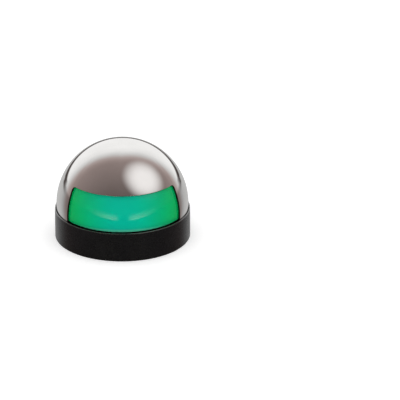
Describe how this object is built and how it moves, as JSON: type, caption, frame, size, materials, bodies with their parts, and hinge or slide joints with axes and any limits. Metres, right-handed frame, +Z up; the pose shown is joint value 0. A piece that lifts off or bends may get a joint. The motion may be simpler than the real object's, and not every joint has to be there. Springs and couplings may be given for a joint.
{
  "type": "navigation light",
  "caption": "Round deck-mount side light: black collar, polished domed cover with a sector window, green lens, lift-off cover and lens over a festoon bulb.",
  "frame": {"origin": "centre of the flat underside of the base collar", "axes": "+Z up out of the deck, the light's window faces -Y, +X to the right when looking at the window from the front"},
  "size_m": [0.076, 0.076, 0.0565],
  "materials": {
    "black_plastic": "satin moulded, black",
    "gasket_rubber": "closed-cell foam, matt",
    "black_rubber": "moulded rubber, matt",
    "green_lens": "clear moulded green, glossy",
    "polished_steel": "polished stainless",
    "screw_steel": "turned stainless",
    "brass": "turned",
    "white_plastic": "satin moulded, white",
    "contact_brass": "rolled spring strip",
    "terminal_brass": "tin-plated",
    "bulb_glass": "clear",
    "cap_metal": "nickel-plated brass",
    "tungsten": "drawn wire"
  },
  "bodies": {
    "base": {"base": "black_plastic", "mounting_gasket": "gasket_rubber", "cable_grommet": "black_rubber", "rim_gasket": "black_rubber", "cover_screw": "screw_steel", "cover_screw_insert": "brass", "lamp_tray": "white_plastic", "tray_screws": "screw_steel", "left_contact": "contact_brass", "right_contact": "contact_brass", "contact_rivets": "brass", "terminal_screws": "terminal_brass", "terminal_washers": "terminal_brass", "terminal_nuts": "brass"},
    "lens": {"lens": "green_lens", "lens_o_ring": "black_rubber"},
    "cover": {"dome_cover": "polished_steel"},
    "bulb": {"bulb_glass": "bulb_glass", "bulb_left_cap": "cap_metal", "bulb_right_cap": "cap_metal", "bulb_filament": "tungsten", "filament_supports": "tungsten"}
  },
  "joints": [
    {"name": "lens_lift", "type": "slide", "parent": "base", "child": "lens", "axis": [0, 0, 1], "range_m": [0, 0.045]},
    {"name": "cover_lift", "type": "slide", "parent": "lens", "child": "cover", "axis": [0, 0, 1], "range_m": [0, 0.06]},
    {"name": "bulb_lift", "type": "slide", "parent": "base", "child": "bulb", "axis": [0, 0, 1], "range_m": [0, 0.014]}
  ]
}
